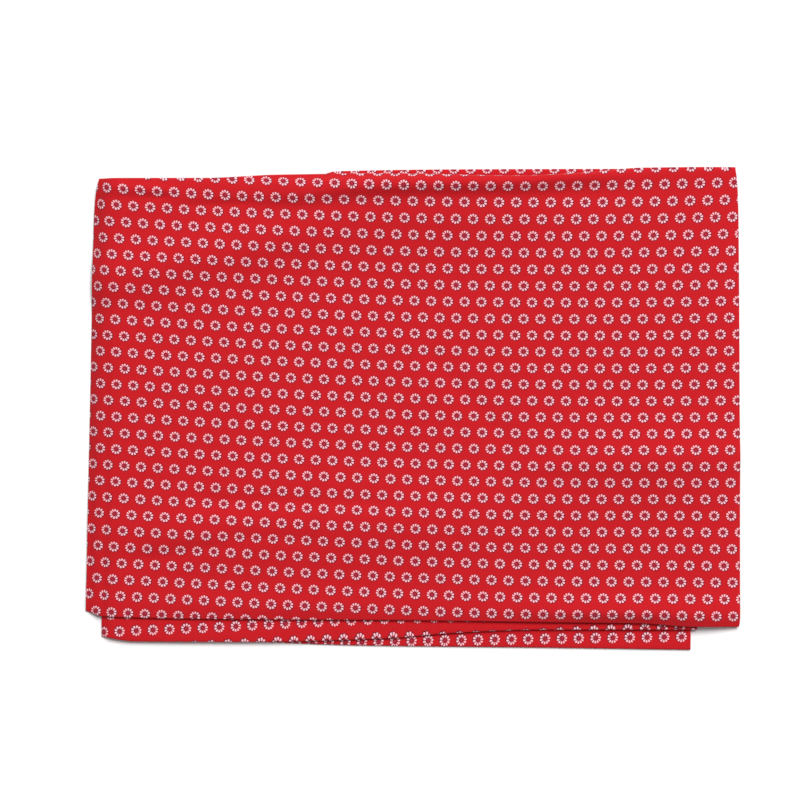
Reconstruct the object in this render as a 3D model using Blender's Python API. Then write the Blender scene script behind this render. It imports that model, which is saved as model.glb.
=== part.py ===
"""A remnant of thin printed cotton, folded into a flat pile that lies on a table.

The cloth is one long strip, folded back and forth in six layers. Seen from the side its section goes to and
fro, and each fold or cut end lies where its own line runs, so no two edges of the pile meet exactly.
X runs across the pile, Y from its near edge to its far edge and Z up, with the origin at the middle of its
underside. Sizes are in metres.
"""

from math import cos, exp, hypot, inf, pi, sin
from typing import NamedTuple

import bmesh
import bpy
import numpy as np

# The sheet and the pile.
SHEET = 0.0011  # thickness of one layer
PITCH = 0.00190  # height from one layer to the next, in the middle of the pile
FAR_LOOSER = 0.00018  # how much more it is at the far edge, and less at the near one
RIGHT_LOOSER = 0.00014  # how much more it is at the right edge, and less at the left one
HALF_WIDTH = 0.28
HALF_DEPTH = 0.20
TIGHT_TURN = 0.0008  # how far a pressed fold curves past its layers
SOFT_TURN = 0.0034  # the same for the front layer's far fold, which isn't pressed
CUT = 0  # a cut end has no turn
ROUNDEST = 1.2  # most that a fold reaches, in halves of its height, so that its inside stays open

# How a layer comes down past the edge of one under it.
SHOULDER = 0.0010  # it stays level this far past the edge
FALL_LEFT = 0.0090  # then it comes down over this distance
FALL_RIGHT = 0.0600
FALL_END = 0.0080

# The front layer's edges swell out on the near side of its far corners.
BELLY = 0.0038
RIGHT_BELLY = 0.0024  # the same for its right edge
RIGHT_START = 0.35  # below 1, the right edge is swollen from close by its near corner
BELLY_START = 0.035  # share of the layer's depth within which they swell
OVERHANG = 0.016  # width of the front layer's left side that bends down past the rest of the pile

TURN_STEPS = 6  # faces round each fold
FRONT_CROWDING = 1.9  # above 1, the front layer's rows of faces crowd towards its far fold


class Line(NamedTuple):
    """A fold or a cut end, as (x, y) points on a smooth curve from the cloth's left edge to its right one."""

    turn: float  # how far the fold curves past its layers, or CUT
    points: tuple


INNER_END = Line(CUT, ((-0.256, 0.186), (0.262, 0.193)))
FRONT_NEAR = Line(
    TIGHT_TURN,
    (
        (-0.281, -0.1745),
        (-0.266, -0.1790),
        (-0.157, -0.1812),
        (-0.020, -0.1820),
        (0.110, -0.1836),
        (0.196, -0.1846),
        (0.240, -0.1876),
        (0.281, -0.1880),
    ),
)
FRONT_FAR = Line(
    SOFT_TURN,
    (
        (-0.2697, 0.1982),
        (-0.1780, 0.1982),
        (-0.1150, 0.2009),
        (-0.0200, 0.2017),
        (0.0850, 0.1996),
        (0.1500, 0.2025),
        (0.1960, 0.2068),
        (0.2775, 0.2077),
    ),
)
MIDDLE_NEAR = Line(
    TIGHT_TURN,
    (
        (-0.2672, -0.1965),
        (-0.2387, -0.2006),
        (-0.1400, -0.2010),
        (-0.0190, -0.1978),
        (0.0320, -0.1935),
        (0.1100, -0.1905),
        (0.2447, -0.1905),
    ),
)
BACK_FAR = Line(
    TIGHT_TURN,
    (
        (-0.255, 0.1930),
        (-0.090, 0.1968),
        (-0.066, 0.2043),
        (0.046, 0.2060),
        (0.245, 0.2065),
    ),
)
BACK_NEAR = Line(
    TIGHT_TURN,
    (
        (-0.2580, -0.1955),
        (-0.1500, -0.2004),
        (-0.0400, -0.2043),
        (0.1060, -0.2060),
        (0.2395, -0.2080),
    ),
)
UNDER_END = Line(CUT, ((-0.256, 0.186), (0.238, 0.197)))


class Layer(NamedTuple):
    name: str
    start: Line
    end: Line
    level: int  # how many layers lie under it
    steps: int  # rows of faces from start to end


# In the order that the cloth passes through them, from its inner end to the one underneath.
LAYERS = (
    Layer("inner", INNER_END, FRONT_NEAR, 4, 6),
    Layer("front", FRONT_NEAR, FRONT_FAR, 5, 28),
    Layer("middle", FRONT_FAR, MIDDLE_NEAR, 3, 6),
    Layer("riser", MIDDLE_NEAR, BACK_FAR, 2, 6),
    Layer("back", BACK_FAR, BACK_NEAR, 1, 6),
    Layer("under", BACK_NEAR, UNDER_END, 0, 6),
)
FRONT = 1  # the front layer's place in LAYERS


# The ridge along the front layer's far fold, as the (x, y) of its crest and the (x, rise) of its height.
CREST = Line(
    CUT,
    (
        (-0.270, 0.1840),
        (-0.187, 0.1835),
        (-0.100, 0.1852),
        (-0.050, 0.1900),
        (0.006, 0.1928),
        (0.092, 0.1950),
        (0.150, 0.1990),
        (0.2775, 0.2020),
    ),
)
CREST_RISE = Line(
    CUT,
    (
        (-0.270, 0.0004),
        (-0.187, 0.0012),
        (-0.140, 0.0030),
        (-0.095, 0.0062),
        (0.006, 0.0078),
        (0.110, 0.0074),
        (0.160, 0.0048),
        (0.200, 0.0016),
        (0.2775, 0.0004),
    ),
)
RIDGE_FOOT = 0.0086  # how far the ridge spreads towards the middle of the pile
FAR_DROP = 0.0005  # how far the fold itself lies below the layer's level
FAR_CURVE = 3.0  # 1 for a straight slope from the crest to the fold, and more for a rounder one
NEAR_ROLL = 0.010  # within this distance of the near fold, what stands off the pile comes down to it


class Swell(NamedTuple):
    """A soft rise of the front layer, or a hollow where its height is below 0."""

    x: float
    y: float
    height: float
    across: float  # how far it spreads in X
    along: float  # how far it spreads in Y


AIR = 0.0018  # how far the front layer stands off the inner one in the middle of the pile
AIR_WIDTH = 0.255  # how far from the middle it reaches in X
AIR_DEPTH = 0.185  # and in Y
SWELLS = (
    Swell(0.020, 0.181, 0.0088, 0.135, 0.044),
    Swell(-0.235, 0.066, -0.0016, 0.050, 0.026),
    Swell(-0.040, -0.096, 0.0046, 0.130, 0.034),
    Swell(-0.190, -0.108, 0.0032, 0.060, 0.020),
    Swell(0.210, -0.044, 0.0054, 0.085, 0.032),
    Swell(0.120, -0.120, -0.0010, 0.100, 0.030),
    Swell(0.190, -0.176, 0.0056, 0.100, 0.014),
    Swell(-0.120, -0.170, 0.0015, 0.140, 0.012),
    Swell(0.278, 0.065, 0.0012, 0.014, 0.070),
)


class Fold(NamedTuple):
    """A soft low ridge across the front layer, from one point to another."""

    x: float
    y: float
    to_x: float
    to_y: float
    height: float
    width: float


FOLDS = (
    Fold(-0.262, 0.112, -0.130, 0.142, 0.0046, 0.021),
    Fold(0.120, -0.048, 0.275, -0.041, 0.0014, 0.009),
)

CLOTH_RED = (0.617, 0.016, 0.022, 1)


def height_along(line, x):
    """The line's Y at x, on a curve through its points that never passes beyond them."""
    xs, ys = zip(*line.points)
    x = min(max(x, xs[0]), xs[-1])
    steepness = np.diff(ys) / np.diff(xs)
    turns = [2 * a * b / (a + b) if a * b > 0 else 0 for a, b in zip(steepness, steepness[1:])]
    slopes = [steepness[0], *turns, steepness[-1]]
    part = min(int(np.searchsorted(xs, x, side="right")), len(xs) - 1)
    width = xs[part] - xs[part - 1]
    t = (x - xs[part - 1]) / width
    weight = (1 + 2 * t) * (1 - t) ** 2
    level = weight * ys[part - 1] + (1 - weight) * ys[part]
    return level + width * t * (1 - t) * ((1 - t) * slopes[part - 1] - t * slopes[part])


def place_on(line, share):
    """(x, y) on the line, at a share of the cloth's width from its left edge."""
    left, right = line.points[0][0], line.points[-1][0]
    x = left + (right - left) * share
    return x, height_along(line, x)


def belly(layer, along, share):
    """How far a point of the front layer lies left of the straight way between its folds."""
    if layer.name != "front":
        return 0
    swollen = 1 - exp((along - 1) / BELLY_START)
    return swollen * (BELLY * along * (1 - share) ** 2 - RIGHT_BELLY * along**RIGHT_START * share**2)


def pitch_at(x, y):
    """Height from one layer to the next."""
    return PITCH + RIGHT_LOOSER * x / HALF_WIDTH + FAR_LOOSER * y / HALF_DEPTH


def past(distance, fall):
    return max(distance - SHOULDER, 0) / fall


def lift_over(layer, x, y):
    """How far the layer lifts what lies on it, in pitches: 1 over it, and down to 0 a little way outside.

    Past a cut end it is still 1, because the fold round that end is stiff enough to stay level.
    """
    start, end = height_along(layer.start, x), height_along(layer.end, x)
    near, far = min(start, end), max(start, end)
    if CUT in (layer.start.turn, layer.end.turn):
        far = inf
    along = (y - start) / (end - start)
    along = min(max(along, 0), 1)
    left, right = (
        layer.start.points[side][0] * (1 - along) + layer.end.points[side][0] * along
        for side in (0, -1)
    )
    outside = min(
        hypot(
            max(past(left - x, FALL_LEFT), past(x - right, FALL_RIGHT)),
            past(max(near - y, y - far), FALL_END),
        ),
        1,
    )
    return 1 - outside**2 * (3 - 2 * outside)


def overhang(x, y):
    """Height of the front layer over its left edge, where it bends down past the pile in one stiff curve."""
    near, far = FRONT_NEAR.points[0], FRONT_FAR.points[0]
    along = min(max((y - near[1]) / (far[1] - near[1]), 0), 1)
    edge = near[0] + (far[0] - near[0]) * along - belly(LAYERS[FRONT], along, 0)
    others = [layer for layer in LAYERS if layer.name != "front"]
    pile = sum(lift_over(other, max(x, edge + OVERHANG), y) for other in others)
    bent = min(max((edge + OVERHANG - x) / OVERHANG, 0), 1)
    return pitch_at(x, y) * pile * (1 - bent**2)


def folds_over(x, y):
    """How far the soft ridges across the front layer stand above it."""
    rise = 0
    for fold in FOLDS:
        run_x, run_y = fold.to_x - fold.x, fold.to_y - fold.y
        length = hypot(run_x, run_y)
        along = ((x - fold.x) * run_x + (y - fold.y) * run_y) / length
        beyond = max(-along, along - length, 0) / 3
        aside = ((x - fold.x) * run_y - (y - fold.y) * run_x) / length
        rise += fold.height * exp(-(aside**2 + beyond**2) / fold.width**2)
    return rise


def swelling(x, y):
    """How far the front layer stands off what it lies on, beyond the layers' even spacing."""
    across = max(1 - (x / AIR_WIDTH) ** 4, 0)
    along = max(1 - (y / AIR_DEPTH) ** 6, 0)
    rise = AIR * across * along + folds_over(x, y)
    for swell in SWELLS:
        far = ((x - swell.x) / swell.across) ** 2 + ((y - swell.y) / swell.along) ** 2
        rise += swell.height * exp(-far)
    crest, crest_rise, fold = (height_along(line, x) for line in (CREST, CREST_RISE, FRONT_FAR))
    before = max(crest - y, 0) / RIDGE_FOOT
    after = min(max((y - crest) / (fold - crest), 0), 1) ** FAR_CURVE
    rise += crest_rise * exp(-(before**2))
    rolled = min(max(1 - (y - height_along(FRONT_NEAR, x)) / NEAR_ROLL, 0), 1) ** 2
    return max(rise, 0) * (1 - after) * (1 - rolled) - FAR_DROP * after


def height_of(layer, x, y):
    """Z of the layer's middle at (x, y)."""
    under = [other for other in LAYERS if other.level < layer.level]
    z = pitch_at(x, y) * sum(lift_over(other, x, y) for other in under)
    if layer.name == "front":
        z = max(z, overhang(x, y)) + swelling(x, y)
    return SHEET / 2 + z


def reach_of(before, after, share):
    """How far the fold between two layers curves past them."""
    x, y = place_on(before.end, share)
    half_height = abs(height_of(before, x, y) - height_of(after, x, y)) / 2
    return min(before.end.turn, ROUNDEST * half_height)


def run_through(layer, share, start_reach, end_reach):
    """Points from the layer's start to its end, each (x, y, z), short of its folds' curves."""
    start_x, start_y = place_on(layer.start, share)
    end_x, end_y = place_on(layer.end, share)
    way = 1 if end_y > start_y else -1
    start_y += way * start_reach
    end_y -= way * end_reach
    crowding = FRONT_CROWDING if layer.name == "front" else 1
    points = []
    for step in range(layer.steps + 1):
        along = 1 - (1 - step / layer.steps) ** crowding
        x = start_x + (end_x - start_x) * along - belly(layer, along, share)
        y = start_y + (end_y - start_y) * along
        points.append((x, y, height_of(layer, x, y)))
    return points


def turn_round(last, first, reach, way):
    """Points round a fold, between the last one of a layer and the first one of the next."""
    middle = (last[2] + first[2]) / 2
    radius = (last[2] - first[2]) / 2
    for step in range(1, TURN_STEPS):
        angle = pi * step / TURN_STEPS
        yield last[0], last[1] + way * reach * sin(angle), middle + radius * cos(angle)


def section(share):
    """Points along the whole cloth, at a share of its width from its left edge."""
    reaches = [reach_of(before, after, share) for before, after in zip(LAYERS, LAYERS[1:])]
    insets = [0, *(reach + SHEET / 2 for reach in reaches), 0]
    runs = [run_through(layer, share, *insets[k : k + 2]) for k, layer in enumerate(LAYERS)]
    points = runs[0]
    for run, reach in zip(runs[1:], reaches):
        way = 1 if points[-1][1] > points[-2][1] else -1
        points = [*points, *turn_round(points[-1], run[0], reach, way), *run]
    return points


def shares_of_width():
    """Where the columns of faces meet: close together where the layers come down at the sides."""
    left = np.linspace(0, 0.055, 11, endpoint=False)
    middle = np.linspace(0.055, 0.93, 14, endpoint=False)
    right = np.linspace(0.93, 1, 6)
    return [*left, *middle, *right]


def cotton():
    material = bpy.data.materials.new("printed_cotton")
    material.use_nodes = True
    shader = material.node_tree.nodes["Principled BSDF"]
    shader.inputs["Base Color"].default_value = CLOTH_RED
    shader.inputs["Roughness"].default_value = 0.85
    shader.inputs["Metallic"].default_value = 0
    return material


def fold_cloth():
    """A flat grid, one row of points to each place along the cloth, put where the folded cloth has it."""
    sections = [section(share) for share in shares_of_width()]
    columns, rows = len(sections), len(sections[0])
    grid = bmesh.new()
    bmesh.ops.create_grid(grid, x_segments=columns - 1, y_segments=rows - 1, size=0.5)
    for vert in grid.verts:
        column = round((vert.co.x + 0.5) * (columns - 1))
        row = round((vert.co.y + 0.5) * (rows - 1))
        vert.co = sections[column][row]
    xs, ys = ([vert.co[axis] for vert in grid.verts] for axis in (0, 1))
    middle = ((min(xs) + max(xs)) / 2, (min(ys) + max(ys)) / 2, 0)
    bmesh.ops.translate(grid, verts=grid.verts, vec=[-place for place in middle])
    mesh = bpy.data.meshes.new("folded_cloth")
    grid.to_mesh(mesh)
    grid.free()
    mesh.shade_smooth()
    mesh.materials.append(cotton())
    cloth = bpy.data.objects.new("folded_cloth", mesh)
    bpy.context.scene.collection.objects.link(cloth)
    thickness = cloth.modifiers.new("Thickness", "SOLIDIFY")
    thickness.thickness = SHEET
    thickness.offset = 0


for old in list(bpy.data.objects):
    bpy.data.objects.remove(old)
fold_cloth()
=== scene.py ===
"""A remnant of red printed cotton, folded into a flat pile, and the plain stage it lies on.

The cotton is doubled down its length, with the fold at its left edge, and the doubled strip is folded back
and forth. The print is a small ring of ten petals in a half-drop repeat, drawn by the material.
"""

from typing import NamedTuple

import bpy
import numpy as np
from bpy.props import FloatProperty, FloatVectorProperty, IntProperty, PointerProperty
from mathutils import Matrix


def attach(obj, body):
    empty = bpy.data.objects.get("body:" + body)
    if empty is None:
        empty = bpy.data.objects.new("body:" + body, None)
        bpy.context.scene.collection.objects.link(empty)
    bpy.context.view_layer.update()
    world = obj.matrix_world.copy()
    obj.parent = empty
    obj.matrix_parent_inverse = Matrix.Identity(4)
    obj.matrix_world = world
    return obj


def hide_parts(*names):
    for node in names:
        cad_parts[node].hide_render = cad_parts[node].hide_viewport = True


bl_info = {
    "name": "Folded cotton remnant",
    "version": (1, 0, 0),
    "blender": (4, 5, 0),
    "location": "View3D > Sidebar > Remnant",
    "description": "Folds a printed cotton remnant and lights it on a plain pale floor",
    "category": "Object",
}

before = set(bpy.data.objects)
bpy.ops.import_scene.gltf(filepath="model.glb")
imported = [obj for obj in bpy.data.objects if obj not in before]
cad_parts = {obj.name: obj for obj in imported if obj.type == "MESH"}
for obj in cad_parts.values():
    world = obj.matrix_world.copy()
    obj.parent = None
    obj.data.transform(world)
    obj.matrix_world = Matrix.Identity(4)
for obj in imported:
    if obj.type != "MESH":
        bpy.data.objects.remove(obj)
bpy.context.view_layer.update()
SOLID = "folded_cloth"
FLOOR = "floor"

# The pile. Sizes are in metres.
SHEET = 0.0011  # thickness of one doubled layer
PITCH = 0.00190  # height from one doubled layer to the next, in the middle of the pile
FAR_LOOSER = 0.00018  # how much more it is at the far edge, and less at the near one
RIGHT_LOOSER = 0.00014  # how much more it is at the right edge, and less at the left one
HALF_WIDTH = 0.28  # from the middle of the pile to its right edge
HALF_DEPTH = 0.20  # and to its far one
TIGHT_TURN = 0.0008  # how far a pressed fold curves past its layers
SOFT_TURN = 0.0034  # the same for the front layer's far fold
CUT = 0  # a cut end has no turn
ROUNDEST = 1.2  # most that a fold reaches, in halves of its height

SHOULDER = 0.0010  # a layer stays level this far past the edge of one under it
FALL_LEFT = 0.0090  # then it comes down over this distance
FALL_RIGHT = 0.0600
FALL_END = 0.0080

BELLY = 0.0038  # how far the front layer's left edge swells out
RIGHT_BELLY = 0.0024  # the same for its right edge
RIGHT_START = 0.35  # below 1, the right edge is swollen from close by its near corner
BELLY_START = 0.035  # share of the layer's depth in which both die away towards its far fold
OVERHANG = 0.016  # width of the front layer's left side that bends down past the rest of the pile
SMOOTH_ANGLE = np.radians(60)  # faces that meet at less than this look like one curve

TURN_STEPS = 8  # rows of faces round each fold
EDGE_STEPS = 4  # columns of faces round the fold at the left edge
PLY_SPACING = 0.0007  # between the middles of the two plies of the doubled cloth

# Columns of faces across each ply, as (first share of the width, last share, columns).
UPPER_COLUMNS = ((0, 0.055, 14), (0.055, 0.93, 102), (0.93, 1, 14))
LOWER_COLUMNS = ((0, 0.055, 12), (0.055, 0.93, 30), (0.93, 1, 12))

# The print's place on the front layer: where a ring lies, and how the grain runs across the pile.
PRINT_MAP = "print"
PATCH_MAP = "OFBake"
PATCH_REPEATS = 4  # ring spacings and rows on the patch of print that a bake uses
PRINT_X = 0.0120
PRINT_Y = -0.0088
GRAIN_TILT = 0.0079  # fall of the rows from the middle to the right edge
GRAIN_BOW = 0.0061  # how far the rows curve up at both edges
GRAIN_TWIST = 0.0021  # how much less they fall at the far edge than in the middle
GRAIN_SPREAD = 0.0032  # how far the rings at both edges stand to the right of an even spacing
GRAIN_LEAN = 0.0010  # how far the far edge's rings stand to the left of the middle's
GRAIN_BEND = 0.0018  # how far the rings of both ends stand to the left of the middle's
GRAIN_EASE = 0.022  # share by which the rings stand wider apart at both ends than in the middle
GRAIN_SKEW = 0.006  # how much more than that they do at the far end, and less at the near one
GRAIN_WANE = 0.012  # share by which they stand closer in the far half, and wider in the near one
GRAIN_PINCH = 0.0036  # draws the rings in from both sides, in the middle rows
GRAIN_GATHER = 0.0020  # draws the rows towards the middle one, between it and both ends
GRAIN_REACH = 0.0009  # how far the row by the far fold lies past an even spacing
GRAIN_FLARE = 0.0018  # how much more the rows curve up at the far end than in the middle

# The print's ring, in millimetres and radians from its middle. Angles run anticlockwise from the right.
MM = 1000  # millimetres in a metre
RING_SQUASH = 0.96  # height of the ring by its width
PETALS = 10
PETAL_START = np.radians(-168.2)
PETAL_SWAY = np.radians(4.5)  # how far the petals crowd together
PETAL_SWAY_AT = np.radians(40)
PETAL_INNER = 2.70  # from the ring's middle to where a petal's round root is centred
PETAL_OUTER = 3.68  # and to its round tip
PETAL_ROOT = 0.47  # half the petal's width at its root
PETAL_TIP = 0.80
PETAL_EDGE = 0.14  # how soft its edge is
OUTLINE_WIDTH = 0.68
OUTLINE_EDGE = 0.16
OUTLINE_STRENGTH = 0.55  # how much of its own colour the outline has
HEART_RADIUS = 2.0
HEART_EDGE = 0.3
DOT_RADIUS = 0.8
DOT_EDGE = 0.4
HEAVY_SIDE = np.radians(-35)  # where the print is heaviest
HEAVY_PETAL = 0.04  # how much wider half a petal is there, and how much narrower opposite
HEAVY_OUTLINE = 0.35  # how much more of its own colour the outline has there, and less opposite
BLEED = 0.12  # how much further out the print's edge runs on the tops of the threads than in the hollows
BLEED_LEVEL = 0.4  # the weave's height at which it is in its place

# The weave. Its height is 0 in the hollows and 1 on top of the threads.
CROSSING_EDGE = 0.3  # how softly one thread's shade gives way to the shade of the one across it
PAINTED_HOLLOW_SHADE = 0.86  # painted shade: the colour's brightness in the weave's hollows
PAINTED_TOP_LIGHT = 0.14  # painted light: how much brighter the colour is on the threads' tops
THREAD_SHADES = 0.10  # how much the threads differ from each other in brightness
THREAD_HEIGHTS = 0.3  # and in height
WEAVE_RELIEF = 0.00008  # depth of the hollows, in metres
HOLLOW_ROUGHNESS = 0.92
TOP_SHINE = 0.12  # how much less rough the tops are

# The camera and the soft light. Sizes are in metres.
VIEW_CENTRE = (-0.01075, 0.0073)  # the (x, y) that the camera stands over
VIEW_WIDTH = 0.688  # what the camera takes in
VIEW_LEVEL = 0.006  # at this height
SENSOR = 36  # the camera's sensor width, in millimetres
LAMP_DISTANCE = 9.0  # from the pile to the soft light on the far side
LAMP_SIZE = 4.8  # length of its sides


class Ring(NamedTuple):
    """A ring's place on a layer, near one of the layer's folds, and the slope of its row."""

    x: float
    y: float
    rise: float


class Line(NamedTuple):
    """A fold or a cut end: (x, y) points on a smooth curve, from the cloth's left edge to its right one."""

    turn: float  # how far the fold curves past its layers, or CUT
    points: tuple
    ring: Ring = None  # on the layer that runs into the fold, where its print shows


INNER_END = Line(CUT, ((-0.256, 0.186), (0.262, 0.193)))
FRONT_NEAR = Line(
    TIGHT_TURN,
    (
        (-0.281, -0.1745),
        (-0.266, -0.1790),
        (-0.157, -0.1812),
        (-0.020, -0.1820),
        (0.110, -0.1836),
        (0.196, -0.1846),
        (0.240, -0.1876),
        (0.281, -0.1880),
    ),
)
FRONT_FAR = Line(
    SOFT_TURN,
    (
        (-0.2697, 0.1982),
        (-0.1780, 0.1982),
        (-0.1150, 0.2009),
        (-0.0200, 0.2017),
        (0.0850, 0.1996),
        (0.1500, 0.2025),
        (0.1960, 0.2068),
        (0.2775, 0.2077),
    ),
)
MIDDLE_NEAR = Line(
    TIGHT_TURN,
    (
        (-0.2672, -0.1965),
        (-0.2387, -0.2006),
        (-0.1400, -0.2010),
        (-0.0190, -0.1978),
        (0.0320, -0.1935),
        (0.1100, -0.1905),
        (0.2447, -0.1905),
    ),
    Ring(-0.1658, -0.1892, 0.0355),
)
BACK_FAR = Line(
    TIGHT_TURN,
    (
        (-0.255, 0.1930),
        (-0.090, 0.1968),
        (-0.066, 0.2043),
        (0.046, 0.2060),
        (0.245, 0.2065),
    ),
    Ring(-0.0640, 0.2057, 0),
)
BACK_NEAR = Line(
    TIGHT_TURN,
    (
        (-0.2580, -0.1955),
        (-0.1500, -0.2004),
        (-0.0400, -0.2043),
        (0.1060, -0.2060),
        (0.2395, -0.2080),
    ),
    Ring(0.1138, -0.1992, 0.013),
)
UNDER_END = Line(CUT, ((-0.256, 0.186), (0.238, 0.197)))


class Layer(NamedTuple):
    """One layer of the pile, from the fold or cut end where the cloth comes in to where it goes on."""

    name: str
    start: Line
    end: Line
    level: int  # how many layers lie under it
    steps: int  # rows of faces from start to end
    crowding: float  # how closely the rows stand at the ends, from 0 for even to nearly 1


# In the order that the cloth passes through them, from its inner end to the one underneath.
LAYERS = (
    Layer("inner", INNER_END, FRONT_NEAR, 4, 16, 0.9),
    Layer("front", FRONT_NEAR, FRONT_FAR, 5, 96, 0.5),
    Layer("middle", FRONT_FAR, MIDDLE_NEAR, 3, 18, 0.9),
    Layer("riser", MIDDLE_NEAR, BACK_FAR, 2, 16, 0.9),
    Layer("back", BACK_FAR, BACK_NEAR, 1, 18, 0.9),
    Layer("under", BACK_NEAR, UNDER_END, 0, 16, 0.9),
)
FRONT = 1  # the front layer's place in LAYERS

# The ridge along the front layer's far fold, as the (x, y) of its crest and the (x, rise) of its height.
CREST = Line(
    CUT,
    (
        (-0.270, 0.1840),
        (-0.187, 0.1835),
        (-0.100, 0.1852),
        (-0.050, 0.1900),
        (0.006, 0.1928),
        (0.092, 0.1950),
        (0.150, 0.1990),
        (0.2775, 0.2020),
    ),
)
CREST_RISE = Line(
    CUT,
    (
        (-0.270, 0.0004),
        (-0.187, 0.0012),
        (-0.140, 0.0030),
        (-0.095, 0.0062),
        (0.006, 0.0078),
        (0.110, 0.0074),
        (0.160, 0.0048),
        (0.200, 0.0016),
        (0.2775, 0.0004),
    ),
)
RIDGE_FOOT = 0.0086  # how far the ridge spreads towards the middle of the pile
FAR_DROP = 0.0005  # how far the fold itself lies below the layer's level
FAR_CURVE = 3.0  # 1 for a straight slope from the crest to the fold, and more for a rounder one
NEAR_ROLL = 0.010  # within this distance of the near fold, what stands off the pile comes down to it


class Swell(NamedTuple):
    """A soft rise of the front layer, or a hollow if its height is below 0."""

    x: float
    y: float
    height: float
    across: float  # how far it spreads in X
    along: float  # how far it spreads in Y


AIR = 0.0018  # how far the front layer stands off the inner one in the middle of the pile
AIR_WIDTH = 0.255  # how far from the middle it reaches in X
AIR_DEPTH = 0.185  # and in Y
AIR_EVENNESS = (4, 6)  # the higher, the nearer to those ends it stays the same, in X and in Y
CREASE_FADE = 3  # a crease dies away past its ends over this many of its widths
SWELLS = (
    Swell(0.020, 0.181, 0.0088, 0.135, 0.044),
    Swell(-0.235, 0.066, -0.0016, 0.050, 0.026),
    Swell(-0.040, -0.096, 0.0046, 0.130, 0.034),
    Swell(-0.190, -0.108, 0.0032, 0.060, 0.020),
    Swell(0.210, -0.044, 0.0054, 0.085, 0.032),
    Swell(0.120, -0.120, -0.0010, 0.100, 0.030),
    Swell(0.190, -0.176, 0.0056, 0.100, 0.014),
    Swell(-0.120, -0.170, 0.0015, 0.140, 0.012),
    Swell(0.278, 0.065, 0.0012, 0.014, 0.070),
)


class Crease(NamedTuple):
    """A soft trough pressed into the front layer between two points, or a ridge if depth is below 0."""

    x: float
    y: float
    to_x: float
    to_y: float
    depth: float
    width: float


CREASES = (
    Crease(-0.262, 0.112, -0.130, 0.142, -0.0046, 0.021),
    Crease(-0.250, 0.190, -0.212, 0.187, -0.0016, 0.004),
    Crease(-0.188, 0.174, -0.146, 0.176, 0.0014, 0.004),
    Crease(-0.272, 0.178, -0.218, 0.181, 0.0014, 0.004),
    Crease(0.020, 0.040, 0.074, -0.020, 0.0009, 0.007),
    Crease(0.120, -0.048, 0.275, -0.041, -0.0014, 0.009),
    Crease(-0.165, -0.080, -0.035, -0.081, 0.0022, 0.007),
    Crease(-0.150, -0.110, -0.095, -0.112, 0.0012, 0.005),
    Crease(-0.228, -0.128, -0.160, -0.117, 0.0014, 0.006),
    Crease(0.026, 0.110, 0.026, -0.180, -0.0006, 0.004),
)


def height_along(line, x):
    """The line's Y at each x, on a curve through its points that never passes beyond them."""
    xs, ys = np.array(line.points).T
    x = np.clip(x, xs[0], xs[-1])
    steepness = np.diff(ys) / np.diff(xs)
    turns = [2 * a * b / (a + b) if a * b > 0 else 0 for a, b in zip(steepness, steepness[1:])]
    slopes = np.array([steepness[0], *turns, steepness[-1]])
    part = np.clip(np.searchsorted(xs, x, side="right"), 1, len(xs) - 1)
    width = xs[part] - xs[part - 1]
    t = (x - xs[part - 1]) / width
    weight = (1 + 2 * t) * (1 - t) ** 2
    level = weight * ys[part - 1] + (1 - weight) * ys[part]
    return level + width * t * (1 - t) * ((1 - t) * slopes[part - 1] - t * slopes[part])


def place_on(line, share):
    """(x, y) on the line, at each share of the cloth's width from its left edge."""
    left, right = line.points[0][0], line.points[-1][0]
    x = left + (right - left) * share
    return x, height_along(line, x)


def swollen(along):
    """How much of their belly the front layer's edges have, at each share of its depth."""
    return 1 - np.exp((along - 1) / BELLY_START)


def pitch_at(x, y):
    """Height from one doubled layer to the next."""
    return PITCH + RIGHT_LOOSER * x / HALF_WIDTH + FAR_LOOSER * y / HALF_DEPTH


def past(distance, fall):
    """How far past the level shoulder a distance is, in lengths of the fall."""
    return np.maximum(distance - SHOULDER, 0) / fall


def lift_over(layer, x, y):
    """How far the layer lifts what lies on it, in pitches: 1 over it, and down to 0 a little way outside.

    Past a cut end it is still 1, because the fold round that end is stiff enough to stay level.
    """
    start, end = height_along(layer.start, x), height_along(layer.end, x)
    near, far = np.minimum(start, end), np.maximum(start, end)
    if CUT in (layer.start.turn, layer.end.turn):
        far = np.inf
    along = np.clip((y - start) / (end - start), 0, 1)
    left, right = (
        layer.start.points[side][0] * (1 - along) + layer.end.points[side][0] * along
        for side in (0, -1)
    )
    sideways = np.maximum(past(left - x, FALL_LEFT), past(x - right, FALL_RIGHT))
    endways = past(np.maximum(near - y, y - far), FALL_END)
    outside = np.minimum(np.hypot(sideways, endways), 1)
    return 1 - outside**2 * (3 - 2 * outside)


def creasing(x, y):
    """How deep the creases are at each (x, y)."""
    depth = 0
    for crease in CREASES:
        run = np.array((crease.to_x - crease.x, crease.to_y - crease.y))
        length = np.hypot(*run)
        way = run / length
        along = (x - crease.x) * way[0] + (y - crease.y) * way[1]
        beyond = np.maximum(np.maximum(-along, along - length), 0) / CREASE_FADE
        aside = (x - crease.x) * way[1] - (y - crease.y) * way[0]
        depth = depth + crease.depth * np.exp(-(aside**2 + beyond**2) / crease.width**2)
    return depth


def overhang(x, y):
    """Height of the front layer by its left edge, where it bends down past the pile in one stiff curve."""
    near, far = FRONT_NEAR.points[0], FRONT_FAR.points[0]
    along = np.clip((y - near[1]) / (far[1] - near[1]), 0, 1)
    edge = near[0] + (far[0] - near[0]) * along - BELLY * swollen(along) * along
    hinge = edge + OVERHANG
    others = [layer for layer in LAYERS if layer.name != "front"]
    pile = sum(lift_over(other, np.maximum(x, hinge), y) for other in others)
    bent = np.clip((hinge - x) / OVERHANG, 0, 1)
    return pitch_at(x, y) * pile * (1 - bent**2)


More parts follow.
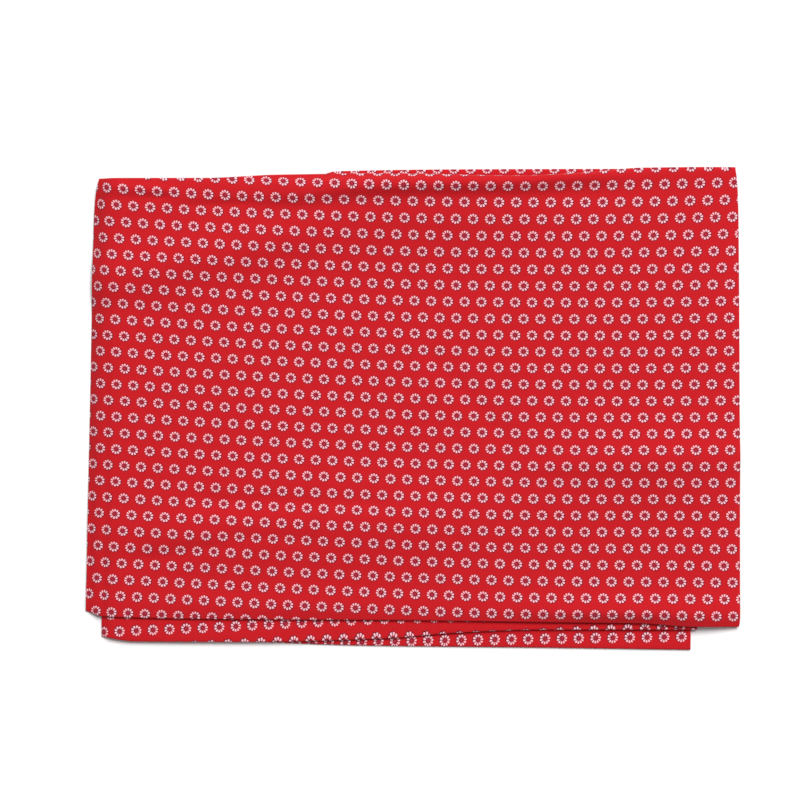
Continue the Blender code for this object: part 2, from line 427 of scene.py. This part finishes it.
def swelling(x, y):
    """How far the front layer stands off what it lies on, beyond the layers' even spacing."""
    across = np.maximum(1 - (x / AIR_WIDTH) ** AIR_EVENNESS[0], 0)
    along = np.maximum(1 - (y / AIR_DEPTH) ** AIR_EVENNESS[1], 0)
    rise = AIR * across * along - creasing(x, y)
    for swell in SWELLS:
        far = ((x - swell.x) / swell.across) ** 2 + ((y - swell.y) / swell.along) ** 2
        rise = rise + swell.height * np.exp(-far)
    crest, crest_rise, fold = (height_along(line, x) for line in (CREST, CREST_RISE, FRONT_FAR))
    before = np.maximum(crest - y, 0) / RIDGE_FOOT
    after = np.clip((y - crest) / (fold - crest), 0, 1) ** FAR_CURVE
    rise = rise + crest_rise * np.exp(-(before**2))
    rolled = np.clip(1 - (y - height_along(FRONT_NEAR, x)) / NEAR_ROLL, 0, 1) ** 2
    return np.maximum(rise, 0) * (1 - after) * (1 - rolled) - FAR_DROP * after


def height_of(layer, x, y):
    """Z of the layer's middle at each (x, y)."""
    under = [other for other in LAYERS if other.level < layer.level]
    z = pitch_at(x, y) * sum((lift_over(other, x, y) for other in under), np.zeros_like(x))
    if layer.name == "front":
        z = np.maximum(z, overhang(x, y)) + swelling(x, y)
    return SHEET / 2 + z


def reach_of(before, after, share):
    """How far the fold between two layers curves past them."""
    x, y = place_on(before.end, share)
    half_height = np.abs(height_of(before, x, y) - height_of(after, x, y)) / 2
    return np.minimum(before.end.turn, ROUNDEST * half_height)


def run_through(layer, share, start_reach, end_reach):
    """The layer's rows of points from its start to its end, short of its folds' curves."""
    start_x, start_y = place_on(layer.start, share)
    end_x, end_y = place_on(layer.end, share)
    way = np.sign(end_y - start_y)
    start_y = start_y + way * start_reach
    end_y = end_y - way * end_reach
    step = np.linspace(0, 1, layer.steps + 1)[:, None]
    along = step - layer.crowding * np.sin(2 * np.pi * step) / (2 * np.pi)
    x = start_x + (end_x - start_x) * along
    y = start_y + (end_y - start_y) * along
    if layer.name == "front":
        x = x - BELLY * swollen(along) * along * (1 - share) ** 2
        x = x + RIGHT_BELLY * swollen(along) * along**RIGHT_START * share**2
    return np.stack((x, y, height_of(layer, x, y)), 2)


def turn_round(last, first, reach, way):
    """Rows of points round a fold, between the last row of a layer and the first one of the next."""
    angle = np.linspace(0, np.pi, TURN_STEPS + 1)[1:-1, None]
    middle, radius = (last[:, 2] + first[:, 2]) / 2, (last[:, 2] - first[:, 2]) / 2
    x = np.broadcast_to(last[:, 0], (TURN_STEPS - 1, len(last)))
    return np.stack((x, last[:, 1] + way * reach * np.sin(angle), middle + radius * np.cos(angle)), 2)


def lay_middle(share):
    """The doubled cloth's middle surface, by row along it and column across it, and each row's layer."""
    reaches = [reach_of(before, after, share) for before, after in zip(LAYERS, LAYERS[1:])]
    # How far short of its folds' ends a layer stops, where their curves take over.
    insets = [0, *(reach + SHEET / 2 for reach in reaches), 0]
    runs = [run_through(layer, share, *insets[k : k + 2]) for k, layer in enumerate(LAYERS)]
    rows, layers = [runs[0]], [np.zeros(len(runs[0]), int)]
    for k, (run, reach) in enumerate(zip(runs[1:], reaches), 1):
        way = np.sign(rows[-1][-1, 0, 1] - rows[-1][-2, 0, 1])
        turn = turn_round(rows[-1][-1], run[0], reach, way)
        rows += [turn, run]
        layers += [np.full(len(turn), k), np.full(len(run), k)]
    return np.concatenate(rows), np.concatenate(layers)


def unit(vectors):
    return vectors / np.linalg.norm(vectors, axis=-1, keepdims=True)


def running_length(steps, axis):
    """The length from the first point to each one, along an axis of the grid."""
    return np.insert(np.cumsum(steps, axis=axis), 0, 0, axis=axis)


def print_places(middle, layers, repeat):
    """Each point's place on the print, across the cloth and along it, as if the cloth were one ply."""
    x, y, z = np.moveaxis(middle, 2, 0)
    along = running_length(np.linalg.norm(np.diff(middle, axis=0), axis=2), 0)
    across = running_length(np.hypot(np.diff(x), np.diff(z)), 1)
    front = np.flatnonzero(layers == FRONT)
    centre = np.argmin(np.abs(x[front[0]]))
    middle_row = front[np.argmin(np.abs(y[front, centre]))]
    across += (x - across)[:, centre, None]
    along += (y - along)[middle_row]
    side, depth = across / HALF_WIDTH, along / HALF_DEPTH
    depth = np.clip(depth, -1, 1) * np.clip(2 - np.abs(depth), 0, 1)
    across = across * (1 - GRAIN_EASE * depth**2 - GRAIN_SKEW * depth + GRAIN_WANE * depth * (1 - depth**2))
    across = across + PRINT_X - GRAIN_SPREAD * side**2 + GRAIN_LEAN * depth + GRAIN_BEND * depth**2
    across = across + GRAIN_PINCH * side * (1 - side**2) * (1 - depth**2)
    along = along + PRINT_Y + (GRAIN_TILT - GRAIN_TWIST * depth) * side
    along = along - GRAIN_REACH * np.maximum(depth, 0) ** 4
    along = along + GRAIN_GATHER * depth * (1 - depth**2) - (GRAIN_BOW + GRAIN_FLARE * depth) * side**2
    for k, layer in enumerate(LAYERS):
        if layer.end.ring:
            slide_to_ring(layer.end.ring, np.flatnonzero(layers == k), middle, across, along, repeat)
    return across, along


def slide_to_ring(ring, rows, middle, across, along, repeat):
    """Slips the layer's rows through its folds until the print has a ring where this one is.

    The cloth that follows the layer slips along with it.
    """
    end = rows[-1]
    x, y = middle[end, :, 0], middle[end, :, 1]
    way = np.sign(y[0] - middle[rows[0], 0, 1])
    goal = way * (y - ring.y - ring.rise * (x - ring.x))
    pair = 2 * repeat[1]
    gap = goal + pair * np.round(np.interp(ring.x, x, along[end] - goal) / pair) - along[end]
    shown = np.interp(ring.x, x, across[end])
    if way < 0:
        shown = 2 * across[end, 0] - np.pi * PLY_SPACING / 2 - shown
    slip = np.round(shown / repeat[0]) * repeat[0] - shown
    share = np.linspace(0, 1, len(rows))[:, None]
    along[rows] += share * gap
    along[end + 1 :] += gap
    across[rows] += share * slip
    across[end + 1 :] += slip


def fold_plies(repeat):
    """The doubled cloth's points and their places on the print, from one open edge round to the other.

    The rows run from the inner end of the cloth to the one underneath. The columns run over the upper ply
    from its open right edge to the fold at the left, and back over the lower ply.
    """
    half = PLY_SPACING / 2
    plies = []
    for columns, way in ((UPPER_COLUMNS, 1), (LOWER_COLUMNS, -1)):
        share = np.concatenate([np.linspace(*run[:2], run[2], endpoint=False) for run in columns] + [[1]])
        middle, layers = lay_middle(share)
        facing = unit(np.cross(np.gradient(middle, axis=1), np.gradient(middle, axis=0)))
        across, along = print_places(middle, layers, repeat)
        plies.append((middle, facing, middle + way * half * facing, across, along))
    (middle, facing, upper, over_across, over_along), (_, _, lower, under_across, under_along) = plies
    outwards = -unit(middle[:, 1:2] - middle[:, :1])
    angle = np.linspace(0, np.pi, EDGE_STEPS + 1)[1:-1]
    around = facing[:, :1] * np.cos(angle)[:, None] + outwards * np.sin(angle)[:, None]
    edge = middle[:, :1] + half * around
    fold = over_across[:, :1]
    points = np.concatenate((upper[:, ::-1], edge, lower), axis=1)
    across = np.concatenate(
        (over_across[:, ::-1], fold - half * angle, 2 * fold - half * np.pi - under_across), axis=1
    )
    along = np.concatenate(
        (over_along[:, ::-1], np.repeat(over_along[:, :1], EDGE_STEPS - 1, axis=1), under_along), axis=1
    )
    return points, across, along


def cloth_mesh(points, across, along, tile):
    """The sheet's mesh, with the print's place on it and the map that a bake of one patch of print uses."""
    rows, columns = across.shape
    corner = np.arange(rows * columns).reshape(rows, columns)
    faces = np.stack((corner[:-1, :-1], corner[1:, :-1], corner[1:, 1:], corner[:-1, 1:]), 2).reshape(-1, 4)
    mesh = bpy.data.meshes.new("folded_cotton")
    mesh.from_pydata(points.reshape(-1, 3).tolist(), [], faces.tolist())
    places = np.stack((across.ravel(), along.ravel()), 1)[faces]
    lowest = places.min(axis=1, keepdims=True)
    patch = places - np.floor(lowest / tile) * tile
    patch /= patch.max(axis=(0, 1))
    for name, spots in ((PRINT_MAP, places), (PATCH_MAP, patch)):
        layer = mesh.uv_layers.new(name=name)
        layer.data.foreach_set("uv", spots.astype(np.float32).ravel())
    return mesh


class Wire:
    """A node's output, on which arithmetic adds Math nodes."""

    def __init__(self, finish, socket):
        self.finish = finish
        self.socket = socket

    def __add__(self, other):
        return self.finish.maths("ADD", self, other)

    def __radd__(self, other):
        return self.finish.maths("ADD", other, self)

    def __sub__(self, other):
        return self.finish.maths("SUBTRACT", self, other)

    def __rsub__(self, other):
        return self.finish.maths("SUBTRACT", other, self)

    def __mul__(self, other):
        return self.finish.maths("MULTIPLY", self, other)

    def __rmul__(self, other):
        return self.finish.maths("MULTIPLY", other, self)

    def __truediv__(self, other):
        return self.finish.maths("DIVIDE", self, other)

    def __mod__(self, other):
        return self.finish.maths("FLOORED_MODULO", self, other)


class Finish:
    """A material whose nodes are written as expressions."""

    # The places of a Mix node's colours among its sockets, which share their names with others.
    FIRST_COLOUR, SECOND_COLOUR, MIXED_COLOUR = 6, 7, 2

    def __init__(self, name):
        self.material = bpy.data.materials.new(name)
        self.material.use_nodes = True
        self.tree = self.material.node_tree
        self.tree.nodes.clear()

    def node(self, kind, settings=None, inputs=None, output=0):
        """A node's output. Its settings are made first, and then its sockets get their values or wires."""
        node = self.tree.nodes.new(kind)
        for name, value in (settings or {}).items():
            setattr(node, name, value)
        for name, value in (inputs or {}).items():
            if isinstance(value, Wire):
                self.tree.links.new(value.socket, node.inputs[name])
            else:
                node.inputs[name].default_value = value
        return Wire(self, node.outputs[output]) if node.outputs else node

    def maths(self, operation, *terms):
        return self.node("ShaderNodeMath", {"operation": operation}, dict(enumerate(terms)))

    def mix(self, share, first, second):
        """The first colour where share is 0, and the second where it is 1."""
        inputs = {"Factor": share, self.FIRST_COLOUR: first, self.SECOND_COLOUR: second}
        return self.node("ShaderNodeMix", {"data_type": "RGBA"}, inputs, self.MIXED_COLOUR)

    def below(self, value, edge, softness):
        """1 where value is below edge and 0 where it is above, with a soft step between."""
        inputs = {
            "Value": value,
            "From Min": edge - softness / 2,
            "From Max": edge + softness / 2,
            "To Min": 1,
            "To Max": 0,
        }
        return self.node("ShaderNodeMapRange", {"interpolation_type": "SMOOTHSTEP"}, inputs)

    def nearest(self, value):
        return self.maths("ROUND", value)

    def surface(self, shader):
        self.node("ShaderNodeOutputMaterial", None, {"Surface": shader})
        return self.material


def weave(cotton, warp_place, weft_place, threads):
    """The weave's height and its threads' own shades, from 0 to 1. Both places are counted in threads."""
    warp_wave = cotton.maths("SINE", warp_place * np.pi)
    weft_wave = cotton.maths("SINE", weft_place * np.pi)
    crossing = warp_wave * weft_wave
    warp_height = cotton.maths("ABSOLUTE", warp_wave) * (0.5 + 0.5 * crossing)
    weft_height = cotton.maths("ABSOLUTE", weft_wave) * (0.5 - 0.5 * crossing)
    shades = []
    for place in (warp_place, weft_place):
        number = cotton.maths("FLOOR", place) % (PATCH_REPEATS * threads)
        shades.append(cotton.node("ShaderNodeTexWhiteNoise", {"noise_dimensions": "1D"}, {"W": number}))
    on_top = cotton.below(0 - crossing, 0, CROSSING_EDGE)
    shade = shades[0] * on_top + shades[1] * (1 - on_top)
    return cotton.maths("MAXIMUM", warp_height, weft_height), shade


def printed_cotton(settings):
    """Plain-woven cotton, dyed red and printed with small rings of petals.

    It is worked out in millimetres on the print map.
    """
    cotton = Finish("printed_cotton")
    repeat, rows = settings.ring_spacing * MM, settings.row_spacing * MM
    place = cotton.node("ShaderNodeUVMap", {"uv_map": PRINT_MAP})
    across, along = (
        cotton.node("ShaderNodeSeparateXYZ", None, {0: place}, axis) * MM for axis in range(2)
    )
    threads = settings.threads
    height, thread_shade = weave(cotton, across * (threads / repeat), along * (threads / rows), threads)

    row = cotton.nearest(along / rows)
    up = (along - row * rows) / RING_SQUASH
    over = across / repeat - (row % 2) / 2
    aside = (over - cotton.nearest(over)) * repeat
    radius = cotton.maths("SQRT", aside * aside + up * up)
    angle = cotton.maths("ARCTAN2", up, aside)

    step = 2 * np.pi / PETALS
    turn = angle - PETAL_START - PETAL_SWAY * cotton.maths("COSINE", angle - PETAL_SWAY_AT)
    petal = turn / step
    off = (petal - cotton.nearest(petal)) * step
    outwards, sideways = radius * cotton.maths("COSINE", off), radius * cotton.maths("SINE", off)
    reach = PETAL_OUTER - PETAL_INNER
    share = cotton.node("ShaderNodeClamp", None, {0: (outwards - PETAL_INNER) / reach})
    past_end = outwards - PETAL_INNER - share * reach
    heavy = cotton.maths("COSINE", angle - HEAVY_SIDE)
    half_width = PETAL_ROOT + (PETAL_TIP - PETAL_ROOT) * share + HEAVY_PETAL * heavy
    from_petal = cotton.maths("SQRT", past_end * past_end + sideways * sideways) - half_width
    from_petal = from_petal + BLEED * (BLEED_LEVEL - height)

    strength = OUTLINE_STRENGTH + HEAVY_OUTLINE * heavy
    outline = cotton.below(from_petal, OUTLINE_WIDTH, OUTLINE_EDGE) * strength
    colour = cotton.mix(outline, tuple(settings.ground), tuple(settings.outlines))
    colour = cotton.mix(cotton.below(radius, HEART_RADIUS, HEART_EDGE), colour, tuple(settings.hearts))
    colour = cotton.mix(cotton.below(radius, DOT_RADIUS, DOT_EDGE), colour, tuple(settings.dots))
    colour = cotton.mix(cotton.below(from_petal, 0, PETAL_EDGE), colour, tuple(settings.petals))
    # Painted shade darkens the colour in the weave's hollows and painted light brightens it on the threads'
    # tops; the threads' own tones differ at random.
    depth = PAINTED_HOLLOW_SHADE + PAINTED_TOP_LIGHT * height + THREAD_SHADES * (thread_shade - 0.5)
    thread_tone_and_painted_shade = cotton.node("ShaderNodeCombineXYZ", None, {0: depth, 1: depth, 2: depth})
    colour = cotton.node("ShaderNodeVectorMath", {"operation": "MULTIPLY"}, {0: colour, 1: thread_tone_and_painted_shade})

    relief = height + THREAD_HEIGHTS * thread_shade
    bump = {"Strength": 0.5, "Distance": WEAVE_RELIEF, "Height": relief}
    inputs = {
        "Base Color": colour,
        "Roughness": HOLLOW_ROUGHNESS - TOP_SHINE * height,
        "Normal": cotton.node("ShaderNodeBump", None, bump),
        "Specular IOR Level": 0.15,
        "Sheen Weight": 0.04,
        "Sheen Roughness": 0.5,
    }
    return cotton.surface(cotton.node("ShaderNodeBsdfPrincipled", None, inputs))


def pale_floor(colour):
    floor = Finish("pale_floor")
    inputs = {"Base Color": tuple(colour), "Roughness": 0.9, "Specular IOR Level": 0.1}
    return floor.surface(floor.node("ShaderNodeBsdfPrincipled", None, inputs))


def deselect_all():
    if bpy.context.object and bpy.context.object.mode != "OBJECT":
        bpy.ops.object.mode_set(mode="OBJECT")
    bpy.ops.object.select_all(action="DESELECT")


class RemnantCloth(bpy.types.PropertyGroup):
    """The cotton and its print."""

    ply_thickness: FloatProperty(
        name="Ply thickness",
        description="Thickness of one ply of the doubled cotton",
        default=0.0003,
        min=0.0001,
        max=0.0005,
        precision=4,
        unit="LENGTH",
    )
    ring_spacing: FloatProperty(
        name="Ring spacing",
        description="Distance between two rings in a row",
        default=0.01443,
        min=0.010,
        max=0.030,
        precision=4,
        unit="LENGTH",
    )
    row_spacing: FloatProperty(
        name="Row spacing",
        description="Distance between two rows of rings, which stand half a ring spacing apart",
        default=0.01407,
        min=0.010,
        max=0.030,
        precision=4,
        unit="LENGTH",
    )
    threads: IntProperty(
        name="Threads",
        description="Threads of the weave to each ring spacing, an even number",
        default=40,
        min=20,
        max=60,
        step=2,
    )
    ground: FloatVectorProperty(
        name="Ground",
        description="Colour of the dyed ground",
        default=(0.560, 0.0086, 0.0142, 1),
        size=4,
        min=0,
        max=1,
        subtype="COLOR",
    )
    petals: FloatVectorProperty(
        name="Petals",
        description="Colour of the ring's petals",
        default=(1.0, 0.535, 0.595, 1),
        size=4,
        min=0,
        max=1,
        subtype="COLOR",
    )
    outlines: FloatVectorProperty(
        name="Outlines",
        description="Colour of the fine line round the petals",
        default=(0.085, 0.004, 0.024, 1),
        size=4,
        min=0,
        max=1,
        subtype="COLOR",
    )
    hearts: FloatVectorProperty(
        name="Hearts",
        description="Colour of the disc inside each ring",
        default=(0.315, 0.013, 0.030, 1),
        size=4,
        min=0,
        max=1,
        subtype="COLOR",
    )
    dots: FloatVectorProperty(
        name="Dots",
        description="Colour of the dot at the middle of each ring",
        default=(0.43, 0.026, 0.048, 1),
        size=4,
        min=0,
        max=1,
        subtype="COLOR",
    )


class RemnantStage(bpy.types.PropertyGroup):
    """The floor, the light and the camera."""

    floor_colour: FloatVectorProperty(
        name="Floor",
        description="Colour of the plain floor",
        default=(0.92, 0.92, 0.92),
        min=0,
        max=1,
        subtype="COLOR",
    )
    floor_size: FloatProperty(
        name="Floor size",
        description="Length of the floor's sides",
        default=12,
        min=2,
        unit="LENGTH",
    )
    sky: FloatProperty(
        name="Room light",
        description="Strength of the even light from all round",
        default=0.26,
        min=0,
        max=4,
    )
    lamp: FloatProperty(
        name="Soft light",
        description="Power of the soft light from the far side",
        default=955,
        min=0,
        unit="POWER",
    )
    lamp_height: FloatProperty(
        name="Light height",
        description="Angle of the soft light above the floor",
        default=np.radians(58),
        min=0.1,
        max=1.5,
        subtype="ANGLE",
    )
    lamp_aside: FloatProperty(
        name="Light aside",
        description="How far the soft light stands to the right of straight behind the pile",
        default=np.radians(25),
        min=-1.5,
        max=1.5,
        subtype="ANGLE",
    )
    camera_height: FloatProperty(
        name="Camera height",
        description="Height of the camera above the floor",
        default=2.2,
        min=0.5,
        max=10,
        unit="LENGTH",
    )


class REMNANT_OT_fold_cloth(bpy.types.Operator):
    """Fold the printed cotton into its pile"""

    bl_idname = "remnant.fold_cloth"
    bl_label = "Fold Cotton"

    def execute(self, context):
        settings = context.scene.remnant_cloth
        deselect_all()
        repeat = np.array((settings.ring_spacing, settings.row_spacing))
        mesh = cloth_mesh(*fold_plies(repeat), PATCH_REPEATS * repeat)
        cloth = bpy.data.objects.new("folded_cotton", mesh)
        context.collection.objects.link(cloth)
        cloth.select_set(True)
        context.view_layer.objects.active = cloth
        wall = cloth.modifiers.new("thickness", "SOLIDIFY")
        wall.thickness = settings.ply_thickness
        wall.offset = 0
        bpy.ops.object.modifier_apply(modifier=wall.name)
        bpy.ops.object.shade_smooth_by_angle(angle=SMOOTH_ANGLE)
        cloth.data.materials.append(printed_cotton(settings))
        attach(cloth, "root")
        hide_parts(SOLID)
        return {"FINISHED"}


class REMNANT_OT_set_stage(bpy.types.Operator):
    """Lay the plain floor and set up the light and the camera"""

    bl_idname = "remnant.set_stage"
    bl_label = "Set Stage"

    def execute(self, context):
        settings = context.scene.remnant_stage
        deselect_all()
        bpy.ops.mesh.primitive_plane_add(size=settings.floor_size, location=(0, 0, 0))
        floor = context.object
        floor.name = FLOOR
        floor.data.materials.append(pale_floor((*settings.floor_colour, 1)))

        world = bpy.data.worlds.new("room")
        world.use_nodes = True
        background = world.node_tree.nodes["Background"]
        background.inputs["Color"].default_value = (1, 1, 1, 1)
        background.inputs["Strength"].default_value = settings.sky
        context.scene.world = world

        height, aside = settings.lamp_height, settings.lamp_aside
        towards = np.array((np.sin(aside) * np.cos(height), np.cos(aside) * np.cos(height), np.sin(height)))
        bpy.ops.object.light_add(
            type="AREA",
            location=LAMP_DISTANCE * towards,
            rotation=(height - np.pi / 2, 0, -aside),
        )
        lamp = context.object
        lamp.name = "soft_light"
        lamp.data.shape = "SQUARE"
        lamp.data.size = LAMP_SIZE
        lamp.data.energy = settings.lamp

        bpy.ops.object.camera_add(location=(*VIEW_CENTRE, settings.camera_height), rotation=(0, 0, 0))
        camera = context.object
        camera.name = "camera"
        camera.data.sensor_width = SENSOR
        camera.data.lens = SENSOR * (settings.camera_height - VIEW_LEVEL) / VIEW_WIDTH
        context.scene.camera = camera
        context.scene.view_settings.view_transform = "Standard"
        return {"FINISHED"}


class REMNANT_PT_panel(bpy.types.Panel):
    """The remnant's settings and the steps that make it"""

    bl_idname = "REMNANT_PT_panel"
    bl_label = "Folded Remnant"
    bl_space_type = "VIEW_3D"
    bl_region_type = "UI"
    bl_category = "Remnant"

    def draw(self, context):
        layout = self.layout
        for settings, operator in (
            (context.scene.remnant_stage, REMNANT_OT_set_stage),
            (context.scene.remnant_cloth, REMNANT_OT_fold_cloth),
        ):
            box = layout.box()
            for name in settings.__annotations__:
                box.prop(settings, name)
            box.operator(operator.bl_idname)


CLASSES = (RemnantCloth, RemnantStage, REMNANT_OT_fold_cloth, REMNANT_OT_set_stage, REMNANT_PT_panel)


def register():
    for kind in CLASSES:
        bpy.utils.register_class(kind)
    bpy.types.Scene.remnant_cloth = PointerProperty(type=RemnantCloth)
    bpy.types.Scene.remnant_stage = PointerProperty(type=RemnantStage)


def unregister():
    del bpy.types.Scene.remnant_stage
    del bpy.types.Scene.remnant_cloth
    for kind in reversed(CLASSES):
        bpy.utils.unregister_class(kind)


def main():
    register()
    bpy.ops.remnant.set_stage()
    bpy.ops.remnant.fold_cloth()


if __name__ == "__main__":
    main()
